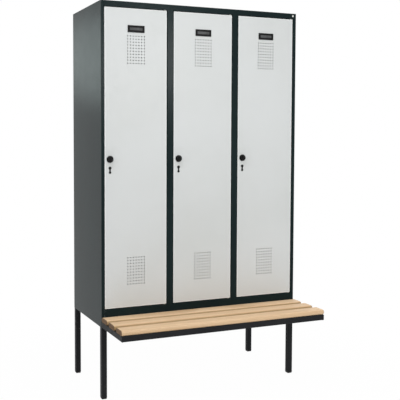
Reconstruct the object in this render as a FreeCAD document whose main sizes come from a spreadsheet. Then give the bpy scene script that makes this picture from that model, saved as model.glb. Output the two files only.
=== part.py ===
import FreeCAD, Part
import os
import re
import Sketcher

# Steel locker of three compartments on a tube frame whose front carries a slatted bench.
# +Z is up, the doors face -Y, and the origin is on the floor under the middle of the whole unit.

doc = FreeCAD.newDocument("locker_unit")

# How many there are of what repeats
compartments = 3
slat_names = ("rear", "middle", "front")
slats = len(slat_names)
vent_columns = 7
vent_rows = 10

# Shares
coat_rail_share = 0.5
grip_draft_share = 0.9

# Driving dimensions in millimetres
sizes = {
    # folded sheet case
    "case_width": 1200,
    "case_depth": 500,
    "case_height": 1700,
    "gauge": 1,
    "bend_radius": 1.5,
    "stile_width": 18,
    "mullion_width": 36,
    "rear_flange": 15,
    "top_rail_height": 30,
    "floor_height": 64,
    "floor_lip": 26,
    # tube frame, legs and feet
    "tube_size": 30,
    "tube_wall": 1.5,
    "tube_corner": 3,
    "leg_height": 390,
    "foot_height": 12,
    "foot_taper": 2.5,
    "foot_stem": 18,
    # bench
    "slat_width": 83,
    "slat_gap": 27,
    "slat_thickness": 26,
    "slat_round": 11,
    "slat_clearance": 2,
    # doors
    "door_gap": 3,
    "door_recess": 4,
    "door_depth": 18,
    "vent_diameter": 7,
    "vent_pitch": 16,
    "upper_vent_drop": 146,
    "lower_vent_rise": 125,
    "stiffener_offset": 112,
    "stiffener_width": 36,
    "stiffener_flange": 12,
    "stiffener_depth": 14,
    "stiffener_margin": 40,
    # label holders
    "label_length": 96,
    "label_height": 37,
    "label_depth": 4,
    "label_rim": 11,
    "label_recess": 2.5,
    "label_round": 2,
    "label_drop": 108,
    # turn knobs and latch cams
    "knob_inset": 30,
    "knob_rise": 800,
    "knob_diameter": 37,
    "rosette_height": 6,
    "grip_diameter": 29,
    "grip_height": 10,
    "bar_width": 10,
    "bar_height": 5,
    "knob_round": 1.5,
    "spindle_diameter": 12,
    "tail_diameter": 8,
    "cam_gap": 2,
    "cam_width": 16,
    "cam_thickness": 3,
    "cam_round": 4,
    "cam_catch": 8,
    # key locks
    "lock_drop": 47,
    "plate_head": 16,
    "plate_neck": 8,
    "plate_foot": 13,
    "plate_spread": 23.5,
    "plate_depth": 1.5,
    "barrel_diameter": 12,
    "plug_diameter": 8,
    "key_slot_width": 1.6,
    "key_slot_height": 6,
    "key_slot_depth": 9,
    # concealed hinges
    "hinge_inset": 10,
    "hinge_setback": 7,
    "pin_diameter": 6,
    "pin_reach": 5,
    "collar_diameter": 11,
    "collar_height": 6,
    "bush_flange": 12,
    "bush_diameter": 9,
    "bush_reach": 3,
    # inside of the compartments
    "shelf_drop": 300,
    "shelf_lip": 20,
    "shelf_front_gap": 50,
    "shelf_rear_gap": 12,
    "rail_drop": 60,
    "rail_diameter": 20,
    "rail_wall": 1.5,
    "socket_diameter": 34,
    "socket_depth": 10,
    "hook_width": 12,
    "hook_ring": 4,
    "hook_drop": 42,
    "hook_bend": 15,
    "hook_wire": 7,
    "hook_stem": 9,
    # screws
    "slat_screw_diameter": 5,
    "slat_screw_head": 10,
    "slat_screw_head_height": 3,
    "slat_screw_bite": 13,
    "case_screw_diameter": 8,
    "case_screw_head": 14,
    "case_screw_head_height": 5,
    "case_screw_tip": 4,
    "case_screw_inset": 60,
    # clearances and the overrun of cuts
    "running_fit": 0.05,
    "press_gap": 0.02,
    "seat_gap": 0.3,
    "screw_clearance": 0.4,
    "overrun": 5,
}

# Places worked out from those sizes
places = {
    "left": "-case_width / 2",
    "right": "case_width / 2",
    "bench_projection": f"{slats} * slat_width + {slats - 1} * slat_gap + slat_clearance",
    "front": "(bench_projection - case_depth) / 2",
    "back": "front + case_depth",
    "bench_front": "front - bench_projection",
    "frame_top": "leg_height + tube_size",
    "frame_middle": "leg_height + tube_size / 2",
    "case_top": "frame_top + case_height",
    "roof_under": "case_top - gauge",
    "rail_under": "case_top - top_rail_height",
    "floor_top": "frame_top + floor_height",
    "jamb_depth": "door_recess + door_depth",
    "opening_width":
        f"(case_width - 2 * stile_width - {compartments - 1} * mullion_width) / {compartments}",
    "opening_pitch": "opening_width + mullion_width",
    "first_opening": "left + stile_width + opening_width / 2",
    "door_width": "opening_width - 2 * door_gap",
    "door_bottom": "floor_top + door_gap",
    "door_top": "rail_under - door_gap",
    "door_height": "door_top - door_bottom",
    "door_face": "front + door_recess",
    "cam_plane": "door_depth + cam_gap",
    "cam_length": "knob_inset + door_gap + gauge + cam_catch",
    "hinge_y": "door_face + hinge_setback",
    "shelf_top": "case_top - shelf_drop",
    "coat_rail_y": f"front + {coat_rail_share} * case_depth",
    "coat_rail_z": "shelf_top - rail_drop",
    "hook_ring_radius": "rail_diameter / 2 + running_fit + hook_ring",
    "frame_left": "left + gauge",
    "frame_right": "right - gauge",
    "bolt_line_left": "frame_left + tube_size / 2",
    "bolt_line_right": "frame_right - tube_size / 2",
}

sheet = doc.addObject("Spreadsheet::Sheet", "Sizes")
for row, (alias, size) in enumerate(sizes.items(), start=1):
    sheet.set(f"A{row}", str(size))
    sheet.setAlias(f"A{row}", alias)
doc.recompute()

nodes = []
nearness = 1e-4
facing_out = FreeCAD.Rotation(FreeCAD.Vector(1, 0, 0), 90)
downward = FreeCAD.Rotation(FreeCAD.Vector(0, 1, 0), FreeCAD.Vector(0, 0, -1), FreeCAD.Vector(-1, 0, 0))
turns = {
    "x": FreeCAD.Rotation(FreeCAD.Vector(0, 1, 0), 90),
    "y": FreeCAD.Rotation(FreeCAD.Vector(1, 0, 0), -90),
    "z": FreeCAD.Rotation(),
}
mitre_planes = {"x": "YZ_Plane", "y": "XZ_Plane"}


def formula(text):
    # Spells a sum of named sizes and places out in the sheet's cells
    def spell(match):
        word = match.group()
        if word in places:
            return "(" + formula(places[word]) + ")"
        return "Sizes." + word
    return re.sub("[a-z_]+", spell, text)


def value(text):
    return float(sheet.evalExpression(formula(text)))


def bind(item, **sums):
    for name, text in sums.items():
        item.setExpression(name, formula(text))


def place(item, x="0", y="0", z="0", turn=None):
    if turn is not None:
        item.Placement = FreeCAD.Placement(FreeCAD.Vector(), turn)
    for axis, text in (("x", x), ("y", y), ("z", z)):
        item.setExpression(f"Placement.Base.{axis}", formula(text))


def node(item, label):
    item.Label = label
    nodes.append(item)
    return item


# Part solids

def block(x, y, z):
    # A box between two sums along each axis
    box = doc.addObject("Part::Box", "block")
    for side, (low, high) in (("Length", x), ("Width", y), ("Height", z)):
        bind(box, **{side: f"({high}) - ({low})"})
    place(box, x[0], y[0], z[0])
    return box


def rod(axis, diameter, start, stop, across):
    # A cylinder along an axis from start to stop, and the two other coordinates of its line
    cylinder = doc.addObject("Part::Cylinder", "rod")
    bind(cylinder, Radius=f"({diameter}) / 2", Height=f"({stop}) - ({start})")
    others = [letter for letter in "xyz" if letter != axis]
    place(cylinder, turn=turns[axis], **{axis: start, others[0]: across[0], others[1]: across[1]})
    return cylinder


def fuse(items):
    if len(items) == 1:
        return items[0]
    result = doc.addObject("Part::MultiFuse", "fuse")
    result.Shapes = items
    result.Refine = True
    return result


def cut(base, tools):
    result = doc.addObject("Part::Cut", "cut")
    result.Base = base
    result.Tool = fuse(tools)
    return result


def group(items, label):
    result = doc.addObject("Part::Compound", label)
    result.Links = items
    return node(result, label)


# Bodies with sketches

def new_body(label):
    return node(doc.addObject("PartDesign::Body", label), label)


def origin_part(body, role):
    return next(part for part in body.Origin.OriginFeatures if part.Role == role)


def outline(body, role, corners, lift="0"):
    # A closed outline whose corners are held by distances from the origin
    sketch = body.newObject("Sketcher::SketchObject", "outline")
    sketch.AttachmentSupport = [(origin_part(body, role), "")]
    sketch.MapMode = "FlatFace"
    sketch.setExpression("AttachmentOffset.Base.z", formula(lift))
    points = [FreeCAD.Vector(value(x), value(y), 0) for x, y in corners]
    count = len(corners)
    for i in range(count):
        sketch.addGeometry(Part.LineSegment(points[i], points[(i + 1) % count]))
    for i in range(count):
        sketch.addConstraint(Sketcher.Constraint("Coincident", i, 2, (i + 1) % count, 1))
    for i, corner in enumerate(corners):
        for kind, text in zip(("DistanceX", "DistanceY"), corner):
            number = sketch.addConstraint(Sketcher.Constraint(kind, -1, 1, i, 1, value(text)))
            sketch.setExpression(f"Constraints[{number}]", formula(text))
    return sketch


def rectangle(x, y):
    return [(x[0], y[0]), (x[1], y[0]), (x[1], y[1]), (x[0], y[1])]


def pad(body, sketch, length):
    feature = body.newObject("PartDesign::Pad", "pad")
    feature.Profile = sketch
    bind(feature, Length=length)
    return feature


def add_box(body, x, y, z, kind="Additive"):
    box = body.newObject(f"PartDesign::{kind}Box", "box")
    for side, (low, high) in (("Length", x), ("Width", y), ("Height", z)):
        bind(box, **{side: f"({high}) - ({low})"})
    place(box, x[0], y[0], z[0])
    return box


def add_rod(body, axis, diameter, start, stop, across, kind="Additive"):
    cylinder = body.newObject(f"PartDesign::{kind}Cylinder", "rod")
    bind(cylinder, Radius=f"({diameter}) / 2", Height=f"({stop}) - ({start})")
    others = [letter for letter in "xyz" if letter != axis]
    place(cylinder, turn=turns[axis], **{axis: start, others[0]: across[0], others[1]: across[1]})
    return cylinder


def lies_at(edge, **held):
    # True where the whole edge lies at the given coordinates
    box = edge.BoundBox
    for axis, text in held.items():
        low = getattr(box, axis.upper() + "Min")
        high = getattr(box, axis.upper() + "Max")
        if max(abs(low - value(text)), abs(high - value(text))) > nearness:
            return False
    return True


def round_edges(body, radius, test):
    doc.recompute()
    tip = body.Tip
    names = [f"Edge{i}" for i, edge in enumerate(tip.Shape.Edges, start=1) if test(edge)]
    fillet = body.newObject("PartDesign::Fillet", "fillet")
    fillet.Base = (tip, names)
    bind(fillet, Radius=radius)
    return fillet


# Case

def opening_centre(n):
    return f"first_opening + {n} * opening_pitch"


def mullion_centre(n):
    return f"left + stile_width + {n} * opening_pitch - mullion_width / 2"


def wall_left(n):
    return f"{mullion_centre(n)} + gauge / 2" if n else "left + gauge"


def wall_right(n):
    return f"{mullion_centre(n + 1)} - gauge / 2" if n + 1 < compartments else "right - gauge"


def hinge_x(n):
    return f"{opening_centre(n)} + door_width / 2 - hinge_inset"


def side_panel(label, outer_face, inward):
    # Side wall with the stile and its jamb folded at the front, a flange at the back
    # and a skirt that hangs down over the outside of the tube frame
    body = new_body(label)
    profile = [
        ("0", "0"), ("stile_width", "0"), ("stile_width", "jamb_depth"),
        ("stile_width - gauge", "jamb_depth"), ("stile_width - gauge", "gauge"), ("gauge", "gauge"),
        ("gauge", "case_depth - gauge"), ("rear_flange", "case_depth - gauge"),
        ("rear_flange", "case_depth"), ("0", "case_depth"),
    ]
    corners = [(f"{inward} * ({x})", y) for x, y in profile]
    pad(body, outline(body, "XY_Plane", corners), "case_height - gauge")

    def outer_bend(edge):
        return (lies_at(edge, x="0", y="0") or lies_at(edge, x="0", y="case_depth")
                or lies_at(edge, x=f"{inward} * stile_width", y="0"))
    round_edges(body, "bend_radius", outer_bend)
    wall = ("0", "gauge") if inward > 0 else ("-gauge", "0")
    add_box(body, wall, ("bend_radius", "case_depth - bend_radius"), ("-tube_size", "0"))
    place(body, outer_face, "front", "frame_top")


def top_panel():
    # Roof sheet with the front rail, its return over the doors, and side flanges
    between_stiles = ("left + stile_width", "right - stile_width")
    along_sides = ("front + jamb_depth", "back - 2 * gauge")
    flange_height = ("rail_under", "roof_under")
    sheets = [
        block(("left", "right"), ("front", "back"), ("roof_under", "case_top")),
        block(between_stiles, ("front", "front + gauge"), flange_height),
        block(between_stiles, ("front", "front + jamb_depth"), ("rail_under", "rail_under + gauge")),
        block(("left + gauge", "left + 2 * gauge"), along_sides, flange_height),
        block(("right - 2 * gauge", "right - gauge"), along_sides, flange_height),
    ]
    holes = [
        rod("z", "bush_diameter + 2 * press_gap", "rail_under - overrun", "rail_under + overrun",
            (hinge_x(n), "hinge_y"))
        for n in range(compartments)
    ]
    node(cut(fuse(sheets), holes), "top_panel")


def bottom_panel():
    # Floor tray: the sheet, the front rail under it, flanges that stand on the frame and their lips
    between_stiles = ("left + stile_width", "right - stile_width")
    between_sides = ("left + gauge", "right - gauge")
    along_sides = ("front + jamb_depth", "back - 2 * gauge")
    sheet_height = ("floor_top - gauge", "floor_top")
    flange_height = ("frame_top", "floor_top")
    lip_height = ("frame_top", "frame_top + gauge")
    sheets = [
        block(between_stiles, ("front", "front + jamb_depth"), sheet_height),
        block(between_sides, along_sides, sheet_height),
        block(between_stiles, ("front", "front + gauge"), flange_height),
        block(between_sides, ("back - 3 * gauge", "back - 2 * gauge"), flange_height),
        block(("left + gauge", "left + 2 * gauge"), along_sides, flange_height),
        block(("right - 2 * gauge", "right - gauge"), along_sides, flange_height),
        block(("left + gauge", "left + gauge + floor_lip"), along_sides, lip_height),
        block(("right - gauge - floor_lip", "right - gauge"), along_sides, lip_height),
    ]
    holes = [
        rod("z", "bush_diameter + 2 * press_gap", "floor_top - overrun", "floor_top + overrun",
            (hinge_x(n), "hinge_y"))
        for n in range(compartments)
    ]
    holes += [
        rod("z", "case_screw_diameter + 2 * press_gap", "frame_top - overrun", "frame_top + overrun", (x, y))
        for x in case_screw_lines
        for y in case_screw_rows
    ]
    node(cut(fuse(sheets), holes), "bottom_panel")


def back_panel():
    panel = block(("left + gauge", "right - gauge"), ("back - 2 * gauge", "back - gauge"),
                  ("frame_top", "roof_under"))
    node(panel, "back_panel")


def mullion(n):
    # Channel between two doors, open to the back
    body = new_body(f"mullion_{n}")
    half = "mullion_width / 2"
    inner = "mullion_width / 2 - gauge"
    corners = [
        (f"-({half})", "0"), (half, "0"), (half, "jamb_depth"), (inner, "jamb_depth"), (inner, "gauge"),
        (f"-({inner})", "gauge"), (f"-({inner})", "jamb_depth"), (f"-({half})", "jamb_depth"),
    ]
    pad(body, outline(body, "XY_Plane", corners), "rail_under - floor_top")

    def front_bend(edge):
        return lies_at(edge, x=half, y="0") or lies_at(edge, x=f"-({half})", y="0")
    round_edges(body, "bend_radius", front_bend)
    place(body, mullion_centre(n), "front", "floor_top")


def partition(n):
    # Wall between two compartments, flanged to the mullion and to the back panel
    centre = mullion_centre(n)
    wall = (f"{centre} - gauge / 2", f"{centre} + gauge / 2")
    flange = (f"{centre} - gauge / 2", f"{centre} + mullion_width / 2 - 2 * gauge")
    under_rail = ("floor_top", "rail_under")
    under_roof = ("floor_top", "roof_under")
    sheets = [
        block(wall, ("front + gauge", "front + jamb_depth"), under_rail),
        block(wall, ("front + jamb_depth", "back - 2 * gauge"), under_roof),
        block(flange, ("front + gauge", "front + 2 * gauge"), under_rail),
        block(flange, ("back - 3 * gauge", "back - 2 * gauge"), under_roof),
    ]
    node(fuse(sheets), f"partition_{n}")


def hat_shelf(n):
    # Shelf sheet with a lip folded down along its front and its back
    across = (wall_left(n), wall_right(n))
    front_edge = "front + shelf_front_gap"
    rear_edge = "back - shelf_rear_gap"
    lip_height = ("shelf_top - shelf_lip", "shelf_top")
    sheets = [
        block(across, (front_edge, rear_edge), ("shelf_top - gauge", "shelf_top")),
        block(across, (front_edge, f"{front_edge} + gauge"), lip_height),
        block(across, (f"{rear_edge} - gauge", rear_edge), lip_height),
    ]
    node(fuse(sheets), f"hat_shelf_{n + 1}")


def coat_rail(n):
    ends = (wall_left(n), wall_right(n))
    line = ("coat_rail_y", "coat_rail_z")
    outside = rod("x", "rail_diameter", ends[0], ends[1], line)
    bore = rod("x", "rail_diameter - 2 * rail_wall", f"{ends[0]} - overrun", f"{ends[1]} + overrun", line)
    node(cut(outside, [bore]), f"coat_rail_{n + 1}")


def rail_sockets():
    # A ring at each end of each coat rail
    line = ("coat_rail_y", "coat_rail_z")
    rings = []
    for n in range(compartments):
        for start, stop in ((wall_left(n), f"{wall_left(n)} + socket_depth"),
                            (f"{wall_right(n)} - socket_depth", wall_right(n))):
            outside = rod("x", "socket_diameter", start, stop, line)
            bore = rod("x", "rail_diameter + 2 * press_gap", f"{start} - overrun", f"{stop} + overrun", line)
            rings.append(cut(outside, [bore]))
    group(rings, "rail_sockets")


def coat_hook(n):
    # Double hook on a ring that slides along the coat rail
    x = opening_centre(n)
    half_width = (f"{x} - hook_width / 2", f"{x} + hook_width / 2")
    line = ("coat_rail_y", "coat_rail_z")
    bottom = "coat_rail_z - hook_drop"
    pieces = [
        rod("x", "2 * hook_ring_radius", half_width[0], half_width[1], line),
        block(half_width, ("coat_rail_y - hook_stem / 2", "coat_rail_y + hook_stem / 2"),
              (f"{bottom} - hook_wire / 2", "coat_rail_z")),
    ]
    for side in (-1, 1):
        bend = doc.addObject("Part::Torus", "bend")
        bind(bend, Radius1="hook_bend", Radius2="hook_wire / 2")
        bend.Angle3 = 180
        place(bend, x, f"coat_rail_y + {side} * hook_bend", bottom, downward)
        tip = doc.addObject("Part::Sphere", "tip")
        bind(tip, Radius="hook_wire / 2")
        place(tip, x, f"coat_rail_y + {side} * 2 * hook_bend", bottom)
        pieces += [bend, tip]
    bore = rod("x", "rail_diameter + 2 * running_fit", f"{half_width[0]} - overrun",
               f"{half_width[1]} + overrun", line)
    node(cut(fuse(pieces), [bore]), f"coat_hook_{n + 1}")


# Base frame and bench

slat_screw_lines = ("bolt_line_left", "0", "bolt_line_right")
case_screw_lines = ("bolt_line_left", "bolt_line_right")
case_screw_rows = ("front + case_screw_inset", "back - case_screw_inset")


def slat_back(i):
    return f"front - slat_clearance - {i} * (slat_width + slat_gap)"


def slat_middle(i):
    return f"{slat_back(i)} - slat_width / 2"


slat_screw_rows = [slat_middle(i) for i in range(slats)]


def tube(label, axis, start, stop, across, mitres=()):
    # Square tube along an axis; each mitre names an end and the sign of the side that is cut away there
    length = f"({stop}) - ({start})"
    half = ("-tube_size / 2", "tube_size / 2")
    body = doc.addObject("PartDesign::Body", label)
    pad(body, outline(body, "XY_Plane", rectangle(half, half)), length)
    for end, side in mitres:
        near, far = ("0", "tube_size") if end == "start" else (length, f"({length}) - tube_size")
        outer, inner = f"-{side} * tube_size / 2", f"{side} * tube_size / 2"
        corner = body.newObject("PartDesign::Pocket", "mitre")
        corner.Profile = outline(body, mitre_planes[axis], [(outer, near), (inner, near), (inner, far)])
        corner.Type = "ThroughAll"
        corner.SideType = "Symmetric"
    round_edges(body, "tube_corner", long_corner)
    inner = ("-(tube_size / 2 - tube_wall)", "tube_size / 2 - tube_wall")
    add_box(body, inner, inner, ("-overrun", f"{length} + overrun"), "Subtractive")
    others = [letter for letter in "xyz" if letter != axis]
    place(body, turn=turns[axis], **{axis: start, others[0]: across[0], others[1]: across[1]})
    return body


def long_corner(edge):
    half = "tube_size / 2"
    return any(lies_at(edge, x=f"{a} * {half}", y=f"{b} * {half}") for a in (-1, 1) for b in (-1, 1))


def screw_holes(x, rows, diameter):
    # Clearance holes for screws that pass up through a rail
    return [
        rod("z", f"{diameter} + 2 * screw_clearance", "leg_height - overrun", "frame_top + overrun", (x, y))
        for y in rows
    ]


def base_frame():
    # Side rails and front rail meet in mitres; the other rails butt against them or against the legs
    middle = "frame_middle"
    sides = (("base_left_rail", "bolt_line_left", 1), ("base_right_rail", "bolt_line_right", -1))
    for label, x, inward in sides:
        rail = tube(f"{label}_tube", "y", "bench_front", "back - tube_size", (x, middle), [("start", inward)])
        holes = screw_holes(x, slat_screw_rows, "slat_screw_diameter")
        holes += screw_holes(x, case_screw_rows, "case_screw_diameter")
        node(cut(rail, holes), label)
    bearer = tube("bearer_tube", "y", "bench_front + tube_size", "front", ("0", middle))
    node(cut(bearer, screw_holes("0", slat_screw_rows, "slat_screw_diameter")), "bench_centre_bearer")
    inside = ("frame_left + tube_size", "frame_right - tube_size")
    node(tube("base_front_rail", "x", "frame_left", "frame_right", ("bench_front + tube_size / 2", middle),
              [("start", 1), ("stop", 1)]), "base_front_rail")
    node(tube("base_middle_rail", "x", inside[0], inside[1], ("front + tube_size / 2", middle)),
         "base_middle_rail")
    node(tube("base_rear_rail", "x", inside[0], inside[1], ("back - tube_size / 2", middle)),
         "base_rear_rail")


def leg_places():
    return [
        (f"{end}_{side}_leg", x, y, top)
        for end, y, top in (("front", "front + tube_size / 2", "leg_height"),
                            ("rear", "back - tube_size / 2", "frame_top"))
        for side, x in (("left", "bolt_line_left"), ("right", "bolt_line_right"))
    ]


def legs_and_feet():
    caps = []
    for label, x, y, top in leg_places():
        node(tube(label, "z", "foot_height", top, (x, y)), label)
        # The cap tapers towards the floor and its stem stands in the tube
        taper = doc.addObject("Part::Wedge", "taper")
        bind(taper, Xmin="foot_taper", Zmin="foot_taper", Xmax="tube_size - foot_taper",
             Zmax="tube_size - foot_taper", X2min="0", Z2min="0",
             X2max="tube_size", Z2max="tube_size", Ymin="0", Ymax="foot_height")
        place(taper, f"{x} - tube_size / 2", f"{y} + tube_size / 2", turn=facing_out)
        reach = "tube_size / 2 - tube_wall - press_gap"
        stem = block((f"{x} - ({reach})", f"{x} + ({reach})"), (f"{y} - ({reach})", f"{y} + ({reach})"),
                     ("foot_height", "foot_height + foot_stem"))
        caps.append(fuse([taper, stem]))
    group(caps, "foot_caps")


def seat_slats():
    for i, name in enumerate(slat_names):
        body = new_body(f"seat_slat_{name}")
        add_box(body, ("left", "right"), (f"{slat_back(i)} - slat_width", slat_back(i)),
                ("frame_top", "frame_top + slat_thickness"))
        round_edges(body, "slat_round", lambda edge: edge.BoundBox.XLength > nearness)
        for x in slat_screw_lines:
            add_rod(body, "z", "slat_screw_diameter + 2 * press_gap", "frame_top - overrun",
                    "frame_top + slat_screw_bite + seat_gap", (x, slat_middle(i)), "Subtractive")


def screws(label, name, lines, rows, tip):
    # Screws whose heads bear on the rails from below
    items = []
    for x in lines:
        for y in rows:
            head = rod("z", f"{name}_head", f"leg_height - {name}_head_height", "leg_height", (x, y))
            shank = rod("z", f"{name}_diameter", "leg_height", tip, (x, y))
            items.append(fuse([head, shank]))
    group(items, label)


# Doors

def on_door(body, n, x="0", z="0"):
    # Stands a body on the outer face of a door, with its own Z pointing away from the door
    place(body, f"{opening_centre(n)} + {x}", "door_face", f"door_bottom + {z}", facing_out)


knob_x = "(knob_inset - door_width / 2)"
lock_rise = "(knob_rise - lock_drop)"


def vent_field(body, first_row):
    # A grid of punched holes, the first at its upper left corner
    first_column = f"-{vent_columns - 1} * vent_pitch / 2"
    hole = add_rod(body, "y", "vent_diameter", "-overrun", "gauge + overrun", (first_column, first_row),
                   "Subtractive")
    grid = body.newObject("PartDesign::LinearPattern", "vents")
    grid.Originals = [hole]
    grid.Direction = (origin_part(body, "X_Axis"), [""])
    grid.Direction2 = (origin_part(body, "Z_Axis"), [""])
    grid.Mode = "Spacing"
    grid.Mode2 = "Spacing"
    grid.Reversed2 = True
    grid.Occurrences = vent_columns
    # The rows' list of steps starts with a zero, so it is emptied before their count fills it
    grid.Spacings2 = []
    grid.Occurrences2 = vent_rows
    bind(grid, Offset="vent_pitch", Offset2="vent_pitch")
    body.Tip = grid


def door_panel(n):
    # Sheet pan, open to the back, with its punched vents and the holes for pins, knob and lock
    body = new_body(f"door_{n + 1}_panel")
    half = "door_width / 2"
    add_box(body, (f"-({half})", half), ("0", "door_depth"), ("0", "door_height"))
    round_edges(body, "bend_radius", lambda edge: lies_at(edge, y="0"))
    inner = f"{half} - gauge"
    add_box(body, (f"-({inner})", inner), ("gauge", "door_depth + overrun"),
            ("gauge", "door_height - gauge"), "Subtractive")
    add_rod(body, "z", "pin_diameter + 2 * press_gap", "-overrun", "door_height + overrun",
            (f"{half} - hinge_inset", "hinge_setback"), "Subtractive")
    add_rod(body, "y", "spindle_diameter + 2 * running_fit", "-overrun", "gauge + overrun",
            (knob_x, "knob_rise"), "Subtractive")
    add_rod(body, "y", "barrel_diameter + 2 * press_gap", "-overrun", "gauge + overrun",
            (knob_x, lock_rise), "Subtractive")
    vent_field(body, "door_height - upper_vent_drop")
    vent_field(body, f"lower_vent_rise + {vent_rows - 1} * vent_pitch")
    place(body, opening_centre(n), "door_face", "door_bottom")


def door_stiffener(n):
    # Hat section along the inside of the door
    body = new_body(f"door_{n + 1}_stiffener")
    wall = "stiffener_width / 2"
    inside = "(stiffener_width / 2 - gauge)"
    edge = "(stiffener_width / 2 + stiffener_flange)"
    crown = "stiffener_depth - gauge"
    corners = [
        (f"-{edge}", "0"), (f"-{inside}", "0"), (f"-{inside}", crown), (inside, crown), (inside, "0"),
        (edge, "0"), (edge, "gauge"), (wall, "gauge"), (wall, "stiffener_depth"),
        (f"-{wall}", "stiffener_depth"), (f"-{wall}", "gauge"), (f"-{edge}", "gauge"),
    ]
    pad(body, outline(body, "XY_Plane", corners), "door_height - 2 * stiffener_margin")
    place(body, f"{opening_centre(n)} + stiffener_offset", "door_face + gauge",
          "door_bottom + stiffener_margin")


def hinge_pins(n):
    # A collared pin through the top and one through the bottom of the door
    line = (hinge_x(n), "hinge_y")
    under_top = "door_top - gauge"
    over_bottom = "door_bottom + gauge"
    upper = fuse([
        rod("z", "pin_diameter", f"{under_top} - collar_height", "rail_under + gauge + pin_reach", line),
        rod("z", "collar_diameter", f"{under_top} - collar_height", under_top, line),
    ])
    lower = fuse([
        rod("z", "pin_diameter", "floor_top - gauge - pin_reach", f"{over_bottom} + collar_height", line),
        rod("z", "collar_diameter", over_bottom, f"{over_bottom} + collar_height", line),
    ])
    group([upper, lower], f"door_{n + 1}_hinge_pins")


def hinge_bushes():
    # Flanged bushes in the front rail's return and in the floor, one above and one below each door
    bushes = []
    for n in range(compartments):
        line = (hinge_x(n), "hinge_y")
        spans = (
            ("rail_under - door_gap + seat_gap", "rail_under",
             "rail_under", "rail_under + gauge + bush_reach"),
            ("floor_top", "floor_top + door_gap - seat_gap",
             "floor_top - gauge - bush_reach", "floor_top"),
        )
        for flange_low, flange_high, sleeve_low, sleeve_high in spans:
            solid = fuse([
                rod("z", "bush_flange", flange_low, flange_high, line),
                rod("z", "bush_diameter", sleeve_low, sleeve_high, line),
            ])
            bore = rod("z", "pin_diameter + 2 * running_fit", f"{flange_low} - overrun - bush_reach",
                       f"{flange_high} + overrun + bush_reach", line)
            bushes.append(cut(solid, [bore]))
    group(bushes, "hinge_bushes")


def label_holder(n):
    body = new_body(f"door_{n + 1}_label_holder")
    x = ("-label_length / 2", "label_length / 2")
    y = ("-label_height / 2", "label_height / 2")
    add_box(body, x, y, ("0", "label_depth"))

    def corner(edge):
        return edge.BoundBox.ZLength > nearness or lies_at(edge, z="label_depth")
    round_edges(body, "label_round", corner)
    add_box(body, (f"{x[0]} + label_rim", f"{x[1]} - label_rim"),
            (f"{y[0]} + label_rim", f"{y[1]} - label_rim"),
            ("label_depth - label_recess", "label_depth + overrun"), "Subtractive")
    on_door(body, n, z="door_height - label_drop")


def knob(n):
    # Rosette, drafted grip with a bar across it, and the stepped spindle that goes through the door
    body = new_body(f"door_{n + 1}_knob")
    rosette = "knob_diameter / 2"
    grip = "grip_diameter / 2"
    grip_foot = "seat_gap + rosette_height"
    grip_top = f"{grip_foot} + grip_height"
    tail_end = "-(cam_plane + cam_thickness + gauge)"
    corners = [
        ("0", tail_end), ("tail_diameter / 2", tail_end), ("tail_diameter / 2", "-cam_plane"),
        ("spindle_diameter / 2", "-cam_plane"), ("spindle_diameter / 2", "seat_gap"),
        (rosette, "seat_gap"), (rosette, f"{grip_foot} - knob_round"),
        (f"{rosette} - knob_round", grip_foot), (grip, grip_foot),
        (f"{grip_draft_share} * {grip}", grip_top), ("0", grip_top),
    ]
    turned = body.newObject("PartDesign::Revolution", "turned")
    turned.Profile = outline(body, "XZ_Plane", corners)
    turned.ReferenceAxis = (turned.Profile[0], ["V_Axis"])
    bar_half = f"{grip_draft_share} * {grip} - knob_round"
    bar = rectangle(("-bar_width / 2", "bar_width / 2"), (f"-({bar_half})", bar_half))
    pad(body, outline(body, "XY_Plane", bar, grip_top), "bar_height")
    round_edges(body, "knob_round", lambda edge: lies_at(edge, z=f"{grip_top} + bar_height"))
    on_door(body, n, knob_x, "knob_rise")


def latch_cam(n):
    # Plate on the spindle's tail; it points up while open and turns behind the frame
    body = new_body(f"door_{n + 1}_latch_cam")
    plate = rectangle(("-cam_width / 2", "cam_width / 2"), ("-cam_width / 2", "cam_length"))
    pad(body, outline(body, "XY_Plane", plate, "-(cam_plane + cam_thickness)"), "cam_thickness")
    round_edges(body, "cam_round", lambda edge: edge.BoundBox.ZLength > nearness)
    add_rod(body, "z", "tail_diameter + 2 * press_gap", "-(cam_plane + cam_thickness + overrun)",
            "overrun - cam_plane", ("0", "0"), "Subtractive")
    on_door(body, n, knob_x, "knob_rise")


def lock_housing(n):
    # Waisted plate on the door's face, with the barrel behind its head
    body = new_body(f"door_{n + 1}_lock_housing")
    add_rod(body, "z", "plate_head", "0", "plate_depth", ("0", "0"))
    add_box(body, ("-plate_neck / 2", "plate_neck / 2"), ("-plate_spread", "0"), ("0", "plate_depth"))
    add_rod(body, "z", "plate_foot", "0", "plate_depth", ("0", "-plate_spread"))
    add_rod(body, "z", "barrel_diameter", "-door_depth", "plate_depth", ("0", "0"))
    add_rod(body, "z", "plug_diameter + 2 * running_fit", "-door_depth - overrun", "plate_depth + overrun",
            ("0", "0"), "Subtractive")
    on_door(body, n, knob_x, lock_rise)


def lock_plug(n):
    # Plug with its key slot in front and the cam on its tail; the cam points down while open
    body = new_body(f"door_{n + 1}_lock_plug")
    back_end = "-(cam_plane + cam_thickness)"
    add_rod(body, "z", "plug_diameter", back_end, "plate_depth", ("0", "0"))
    blade = rectangle(("-plug_diameter / 2", "plug_diameter / 2"), ("-cam_length", "0"))
    pad(body, outline(body, "XY_Plane", blade, back_end), "cam_thickness")
    add_box(body, ("-key_slot_width / 2", "key_slot_width / 2"),
            ("-key_slot_height / 2", "key_slot_height / 2"),
            ("plate_depth - key_slot_depth", "plate_depth + overrun"), "Subtractive")
    on_door(body, n, knob_x, lock_rise)


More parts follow.
